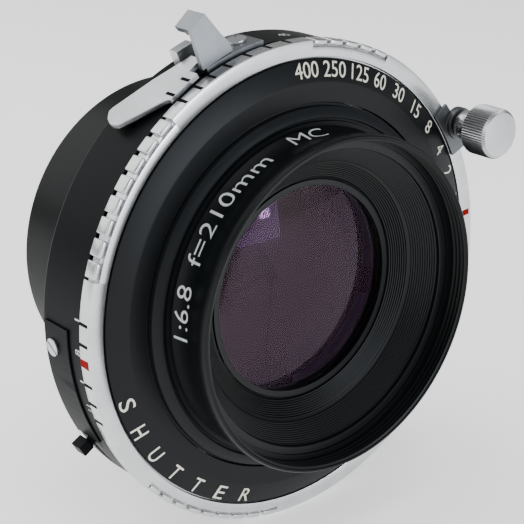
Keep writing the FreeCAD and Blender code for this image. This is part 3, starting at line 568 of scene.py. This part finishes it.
class LENS_OT_speed_ring(bpy.types.Operator):
    """Turn the chrome speed ring and cut its coin edge"""

    bl_idname = "lens.speed_ring"
    bl_label = "Speed ring"

    def execute(self, context):
        sizes = settings()
        bore_front = [(34.07, 0.1), (34.1, 0.03), (34.17, 0.0)]
        bore_back = [(34.17, RING_BACK), (34.07, 2.18)]
        plain = bore_front + [
            (36.36, 0.0), (36.43, 0.02), (36.48, 0.07), (RING_RADIUS, 0.14), (RING_RADIUS, 2.14), (36.45, 2.24),
            (36.35, RING_BACK),
        ] + bore_back
        stepped = bore_front + [
            (35.38, 0.0), (35.46, 0.03), (RING_STEP, 0.1), (RING_STEP, 0.4), (35.78, 0.5), (35.78, 2.14),
            (35.7, 2.24), (35.6, RING_BACK),
        ] + bore_back
        pitch = math.degrees(sizes.notch_pitch)
        # each coin-edge stretch: where it starts, and its notches
        zones = [(4.0, 6), (100.0, 9), (186.0, 10), (284.5, 9)]
        parts = []
        for k, (start, count) in enumerate(zones):
            end = start + pitch * (count - 1)
            parts.append(turned_arc("stepped_arc", stepped, start, end))
            following = zones[(k + 1) % len(zones)][0] + (360.0 if k + 1 == len(zones) else 0.0)
            parts.append(turned_arc("plain_arc", plain, end, following))
        # one tumbled block, copied round each coin-edge stretch
        deselect_all()
        bpy.ops.mesh.primitive_cube_add(size=1.0)
        block = bpy.context.object
        length = 36.2 * MM * sizes.notch_pitch - sizes.notch_width
        block.scale = (length, 2.26 * MM, sizes.notch_depth)
        settle(block)
        soften_edges(block, 0.2, 3)
        for start, count in zones:
            for k in range(count - 1):
                pick(block)
                bpy.ops.object.duplicate()
                copy = bpy.context.object
                angle = start + pitch * (k + 0.5)
                outward, _ = direction(angle)
                copy.rotation_euler = (0, math.radians(angle), 0)
                reach = RING_RADIUS * MM - sizes.notch_depth / 2
                copy.location = outward * reach + Vector((0, back_of(RING_BACK / 2), 0))
                settle(copy)
                parts.append(copy)
        bpy.data.objects.remove(block)
        ring = join("coin_edge_ring", parts)
        smooth(ring, 35.0)
        finish_piece(ring, "ring_chrome", RING, "chrome", "speed_ring")
        return {"FINISHED"}


class LENS_OT_face(bpy.types.Operator):
    """Turn the black engraved face and the stepped collar inside it"""

    bl_idname = "lens.face"
    bl_label = "Face and collar"

    def execute(self, context):
        face = turned("bevelled_face", [
            (27.68, -0.88), (27.75, -0.95), (30.45, -0.95), (30.6, -0.94), (30.8, -0.9), (33.6, -0.06),
            (33.75, 0.0), (FACE_RADIUS, 0.1), (FACE_RADIUS, 0.48), (27.68, 0.48),
        ])
        finish_piece(face, "face_black", CASE, "black_metal", "face_plate")
        collar = turned("stepped_collar", [
            (20.02, -2.05), (25.2, -2.05), (25.3, -1.7), (25.62, -1.7), (25.66, -2.12), (25.78, -2.2),
            (25.95, -2.2), (27.1, -1.62), (27.22, -1.5), (27.25, -1.3), (27.25, -0.55), (27.58, -0.5),
            (27.58, 0.48), (21.6, 0.48), (21.6, 4.08), (20.02, 4.08),
        ])
        finish_piece(collar, "collar_grey", CASE, "dark_grey_metal", "front_collar")
        return {"FINISHED"}


BARREL_OUTSIDE = [
    (-10.45, 25.0), (-10.1, 25.08), (-9.6, 25.1), (-9.0, 25.02), (-8.2, 24.78), (-7.2, 24.42),
    (-6.2, 24.15), (-5.2, 24.02), (-4.2, 24.05), (-3.2, 24.3), (-2.4, 24.6),
]


class LENS_OT_front_barrel(bpy.types.Operator):
    """Turn the front barrel with its filter thread, plain cone and ridged baffle"""

    bl_idname = "lens.front_barrel"
    bl_label = "Front barrel"

    def execute(self, context):
        pitch = settings().thread_pitch / MM
        profile = [(24.9, -10.62), (24.78, -10.68), (24.6, -10.68), (24.42, -10.5), (24.12, -10.4)]
        level = -10.4
        while level + pitch <= -7.6:
            profile += [(24.12, level + 0.1), (24.5, level + pitch * 0.5), (24.12, level + pitch * 0.9)]
            level += pitch
        profile += [(24.1, -7.62), (23.42, -7.55), (23.4, -7.16), (22.4, -7.1), (22.3, -7.02), (22.3, -6.4)]
        # shallow tool grooves down the cone, then the deeper saw-tooth round the glass
        for grooves, (r0, l0), (r1, l1), depth in (
            (11, (22.25, -6.34), (19.75, -3.3), 0.07), (9, (19.5, -3.05), (17.0, -1.3), 0.24),
        ):
            for k in range(grooves):
                radius, level = r0 + (r1 - r0) * k / grooves, l0 + (l1 - l0) * k / grooves
                step, rise = (r1 - r0) / grooves, (l1 - l0) / grooves
                profile += [(radius, level), (radius + step * 0.55, level + rise * 0.35),
                            (radius + step * 0.7, level + rise * 0.7 + depth)]
        profile += [(16.75, -1.25), (16.64, -1.2), (16.62, 3.0), (19.9, 3.0), (19.95, -2.3), (24.5, -2.36)]
        profile += [(radius, depth) for depth, radius in reversed(BARREL_OUTSIDE)]
        barrel = turned("front_barrel", profile, steps=256, angle=24.0)
        finish_piece(barrel, "barrel_black", CASE, "black_metal", "front_cell_barrel")
        # inside the rim the black is matt, to kill stray light
        barrel.data.materials.append(MATERIALS["baffle_black"])
        for face in barrel.data.polygons:
            centre = face.center
            radius = math.hypot(centre.x, centre.z) / MM
            depth = centre.y / MM + SEAT_DEPTH
            if radius < 23.5 and depth > -7.6:
                face.material_index = 1
        return {"FINISHED"}


def domed(edge, curve, bulge):
    """Points (radius, depth) from a glass's axis to its edge; bulge is -1 to the front, 1 to the rear."""
    full = curve - math.sqrt(curve * curve - GLASS_RADIUS * GLASS_RADIUS)
    points = []
    for k in range(13):
        radius = GLASS_RADIUS * k / 12
        rise = curve - math.sqrt(curve * curve - radius * radius)
        points.append((radius, edge + bulge * (full - rise)))
    return points


class LENS_OT_glasses(bpy.types.Operator):
    """Grind the three glasses, each polished on both faces and blackened round its edge, the black tinted
    red-brown as a painted glint
    """

    bl_idname = "lens.glasses"
    bl_label = "Glasses"

    def execute(self, context):
        # each face: depth of its edge, radius of its curve, and which way it bulges
        for name, node, front, back in (
            ("front_glass", "front_element", (-0.8, 62.0, -1), (0.6, 260.0, 1)),
            ("inner_glass", "middle_element", (2.15, 260.0, 1), (4.5, 140.0, -1)),
            ("rear_glass", "rear_element", (22.2, 190.0, -1), (23.6, 48.0, 1)),
        ):
            glass = turned(name, domed(*front) + domed(*back)[::-1], steps=128)
            finish_piece(glass, name, CASE, "glass", node)
            # the blackened rim, whose red-brown tint is a painted glint
            glass.data.materials.append(MATERIALS["glass_edge"])
            rim = (GLASS_RADIUS - 0.05) * MM
            for face in glass.data.polygons:
                if all(math.hypot(*glass.data.vertices[i].co.xz) > rim for i in face.vertices):
                    face.material_index = 1
        return {"FINISHED"}


class LENS_OT_knob(bpy.types.Operator):
    """Turn and knurl the clamp knob, with its domed collar"""

    bl_idname = "lens.knob"
    bl_label = "Clamp knob"

    def execute(self, context):
        sizes = settings()
        outward, _ = direction(KNOB_ANGLE)
        centre = outward * KNOB_REACH * MM
        knob = turned("knurled_knob", [
            (0.02, -9.45), (3.1, -9.45), (3.36, -9.41), (3.78, -9.0), (3.85, -8.8), (3.85, -5.0),
            (3.72, -4.75), (3.5, -4.65), (0.84, -4.65), (0.84, -0.3), (0.02, -0.3),
        ], steps=sizes.knurl_count * 4)
        for vertex in knob.data.vertices:
            radius = math.hypot(vertex.co.x, vertex.co.z)
            if radius > 3.6 * MM:
                turn = math.atan2(vertex.co.x, vertex.co.z) / math.tau * sizes.knurl_count
                depth = KNURL_DEPTH * MM * abs(2 * (turn % 1.0) - 1)
                scale = (radius - depth) / radius
                vertex.co.x *= scale
                vertex.co.z *= scale
            vertex.co += centre
        smooth(knob, 18.0)
        finish_piece(knob, "knob_steel", KNOB, "satin_steel", "clamp_knob")
        collar = turned("domed_collar", [
            (0.98, -4.52), (1.85, -4.5), (2.12, -4.2), (2.33, -3.7), (2.44, -3.1), (2.43, -2.6), (2.3, -2.0),
            (2.05, -1.55), (1.7, -1.27), (0.98, -1.26),
        ], steps=64, angle=50.0)
        for vertex in collar.data.vertices:
            vertex.co += centre
        finish_piece(collar, "ring_chrome", RING, "chrome", "clamp_collar")
        return {"FINISHED"}


class LENS_OT_engraving(bpy.types.Operator):
    """Fill the engraving: speeds, generic word, lens values, scale strokes and index marks"""

    bl_idname = "lens.engraving"
    bl_label = "Engraving"

    def execute(self, context):
        height = settings().number_height / MM
        speeds = (
            ("400", 1.7), ("250", 11.1), ("125", 20.2), ("60", 27.9), ("30", 36.0), ("15", 44.5), ("8", 52.0),
            ("4", 60.4), ("2", 68.3), ("1", 76.7), ("B", 85.0), ("T", 93.3),
        )
        widths = {"400": 4.3, "250": 4.3, "125": 3.5, "60": 2.5, "30": 2.5, "15": 2.0, "1": 0.45}
        marks = []
        for text, angle in speeds:
            spot = on_face(LETTERING_RADIUS, FACE_RADIUS, FACE_SLOPE, angle)
            marks.append(artwork("speed_" + text, text, height, widths.get(text, 1.15), spot))
        finish_piece(join("speed_numbers", marks), "cream_fill", CASE, "black_metal")

        marks = []
        for k, letter in enumerate("SHUTTER"):
            spot = on_face(LETTERING_RADIUS, FACE_RADIUS, FACE_SLOPE, 252.5 - 9.0 * k, inward=True)
            marks.append(artwork(f"letter_{k + 1}", letter, 2.35, 1.75, spot))
        finish_piece(join("face_word", marks), "cream_fill", CASE, "black_metal")

        wall = between(BARREL_OUTSIDE)
        marks = [
            artwork("lens_ratio", "1:6.8", 2.5, 7.7, on_wall(wall, 277.6, -4.0), weight=-0.03),
            artwork("lens_focus", "f=210mm", 2.5, 18.6, on_wall(wall, 315.8, -4.2), weight=-0.03),
            artwork("lens_coating", "MC", 2.3, 6.2, on_wall(wall, 356.0, -3.9), weight=-0.04),
        ]
        finish_piece(join("barrel_lettering", marks), "grey_fill", CASE, "black_metal")

        def round_wall(radius):
            return lambda depth: radius

        ring_wall = round_wall(RING_RADIUS)
        strokes = []
        for angle in (274.8, 270.1, 260.5, 255.7, 251.0, 336.7, 341.3, 346.9, 352.5, 357.9):
            strokes.append(stripe("stroke", on_wall(ring_wall, angle, 1.22), 0.46, 1.9, lift=-0.02))
        for angle in (328.0, 332.6):
            strokes.append(stripe("stroke", on_wall(ring_wall, angle, 1.3), 0.5, 2.1, lift=-0.02))
        strokes.append(stripe("stroke", on_wall(ring_wall, 330.3, 2.1), 2.5, 0.22, lift=-0.02))
        finish_piece(join("ring_strokes", strokes), "black_fill", RING, "chrome")

        # the same marks run on over the edge of the lever's plate, joined by a fine line
        plate = [
            stripe("lever_mark", on_wall(round_wall(37.11), 328.0, 3.55), 0.5, 1.8, lift=-0.01),
            stripe("lever_mark", on_wall(round_wall(37.29), 332.6, 3.55), 0.5, 1.8, lift=-0.01),
        ]
        finish_piece(join("lever_marks", plate), "black_fill", PREVIEW, "satin_steel")
        red = [
            stripe("index_side", on_wall(ring_wall, 265.8, 1.25), 1.3, 1.9, lift=-0.02, taper=0.8),
            stripe("index_front", on_face(35.3, 34.0, 0.0, 83.3), 0.9, 1.3),
        ]
        finish_piece(join("ring_index", red), "red_fill", RING, "chrome")

        case_wall = round_wall(CASE_RADIUS)
        scale = [
            stripe("case_stroke", on_wall(case_wall, 274.7, 3.4), 0.26, 1.3, lift=-0.02),
            stripe("case_stroke", on_wall(case_wall, 259.9, 3.4), 0.26, 1.3, lift=-0.02),
            artwork("case_value_8", "8", 1.3, 0.9, on_wall(case_wall, 267.1, 3.5)),
            artwork("case_value_11", "11", 1.3, 1.0, on_wall(case_wall, 252.8, 3.5)),
            artwork("case_value_45", "45", 1.5, 1.9, on_wall(case_wall, 4.6, 7.0)),
        ]
        finish_piece(join("case_scale", scale), "grey_fill", CASE, "black_metal")
        return {"FINISHED"}


class LENS_OT_sheet_edges(bpy.types.Operator):
    """Break the edges of the pressed levers and small fittings that come from the frame"""

    bl_idname = "lens.sheet_edges"
    bl_label = "Lever edges"

    def execute(self, context):
        for name, width in (
            ("cocking_lever", 0.24), ("preview_lever", 0.16), ("release_lever", 0.12),
            ("diaphragm_lever", 0.12), ("side_plate", 0.14), ("side_plate_screw", 0.06),
            ("cocking_lever_screw", 0.06), ("ring_clamp", 0.1), ("board_retaining_ring", 0.12),
        ):
            node = frame["nodes"][name]
            weld = node.modifiers.new("weld", "WELD")
            weld.merge_threshold = 1e-7
            bevel = node.modifiers.new("broken_edges", "BEVEL")
            bevel.width = width * MM
            bevel.segments = 3
            bevel.limit_method = "ANGLE"
            bevel.angle_limit = math.radians(24)
        return {"FINISHED"}


class LENS_OT_stage(bpy.types.Operator):
    """Lay the floor and set the lights and the camera"""

    bl_idname = "lens.stage"
    bl_label = "Stage"

    def execute(self, context):
        scene = context.scene
        deselect_all()
        bpy.ops.mesh.primitive_plane_add(size=6.0, location=(0, 0, CAD_LOW[2] - 0.0002))
        floor = context.object
        floor.name = "studio_floor"
        settle(floor)
        material, tree, shader, _ = new_material("white_paper_sweep")
        shader.inputs["Base Color"].default_value = (0.92, 0.92, 0.92, 1)
        shader.inputs["Roughness"].default_value = 0.9
        shader.inputs["Emission Color"].default_value = (1, 1, 1, 1)
        shader.inputs["Emission Strength"].default_value = 0.9
        floor.data.materials.append(material)

        world = bpy.data.worlds.new("studio_world")
        world.use_nodes = True
        world.node_tree.nodes["Background"].inputs[0].default_value = (1.0, 1.0, 1.0, 1)
        world.node_tree.nodes["Background"].inputs[1].default_value = 0.35
        scene.world = world

        def area(name, power, size, position, target=(0, 0, 0), tone=(1, 1, 1)):
            data = bpy.data.lights.new(name, "AREA")
            data.energy = power
            data.size = size
            data.color = tone
            lamp = bpy.data.objects.new(name, data)
            scene.collection.objects.link(lamp)
            lamp.location = position
            lamp.rotation_euler = (Vector(target) - Vector(position)).to_track_quat("-Z", "Y").to_euler()

        area("top_softbox", 1.8, 0.5, (-0.05, -0.05, 0.55))
        area("back_softbox", 1.5, 0.5, (-0.2, 0.42, 0.3))
        area("left_softbox", 1.0, 0.4, (-0.55, 0.0, 0.12))
        area("front_softbox", 1.5, 0.26, (0.13, -0.53, 0.02), tone=(0.8, 0.88, 1.0))
        # the lamp whose mirror image sits at the upper left of the front glass
        area("small_lamp", 0.2, 0.03, (0.193, -0.47, 0.039), target=(-0.009, -0.013, 0.014))

        data = bpy.data.cameras.new("studio_camera")
        data.lens = 107.34
        data.sensor_width = 36.0
        data.clip_start = 0.01
        data.clip_end = 20.0
        camera = bpy.data.objects.new("studio_camera", data)
        scene.collection.objects.link(camera)
        azimuth, elevation, distance = math.radians(-39.12), math.radians(20.39), 229.5 * MM
        level = math.cos(elevation)
        back = Vector((math.sin(azimuth) * level, -math.cos(azimuth) * level, math.sin(elevation)))
        right = Vector((math.cos(azimuth), math.sin(azimuth), 0))
        up = back.cross(right)
        aim = Vector((-3.25, -8.03, 3.40)) * MM
        place = Matrix((right, up, back)).transposed().to_4x4()
        place.translation = aim + back * distance
        camera.matrix_world = place
        scene.camera = camera
        return {"FINISHED"}


class LENS_PT_panel(bpy.types.Panel):
    """Buttons that build the lens piece by piece"""

    bl_label = "Lens"
    bl_idname = "LENS_PT_panel"
    bl_space_type = "VIEW_3D"
    bl_region_type = "UI"
    bl_category = "Lens"

    def draw(self, context):
        for operator in STEPS:
            self.layout.operator(operator.bl_idname)
        for name in LensSettings.__annotations__:
            self.layout.prop(context.scene.lens_settings, name)
        for name in FinishSettings.__annotations__:
            self.layout.prop(context.scene.lens_finishes, name)


STEPS = (
    LENS_OT_materials, LENS_OT_speed_ring, LENS_OT_face, LENS_OT_front_barrel, LENS_OT_glasses, LENS_OT_knob,
    LENS_OT_engraving, LENS_OT_sheet_edges, LENS_OT_stage,
)
CLASSES = (LensSettings, FinishSettings) + STEPS + (LENS_PT_panel,)


def register():
    for cls in CLASSES:
        bpy.utils.register_class(cls)
    bpy.types.Scene.lens_settings = bpy.props.PointerProperty(type=LensSettings)
    bpy.types.Scene.lens_finishes = bpy.props.PointerProperty(type=FinishSettings)


def unregister():
    del bpy.types.Scene.lens_finishes
    del bpy.types.Scene.lens_settings
    for cls in reversed(CLASSES):
        bpy.utils.unregister_class(cls)


def main():
    register()
    for operator in STEPS:
        group, name = operator.bl_idname.split(".")
        getattr(getattr(bpy.ops, group), name)()
    deselect_all()


if __name__ == "__main__":
    main()
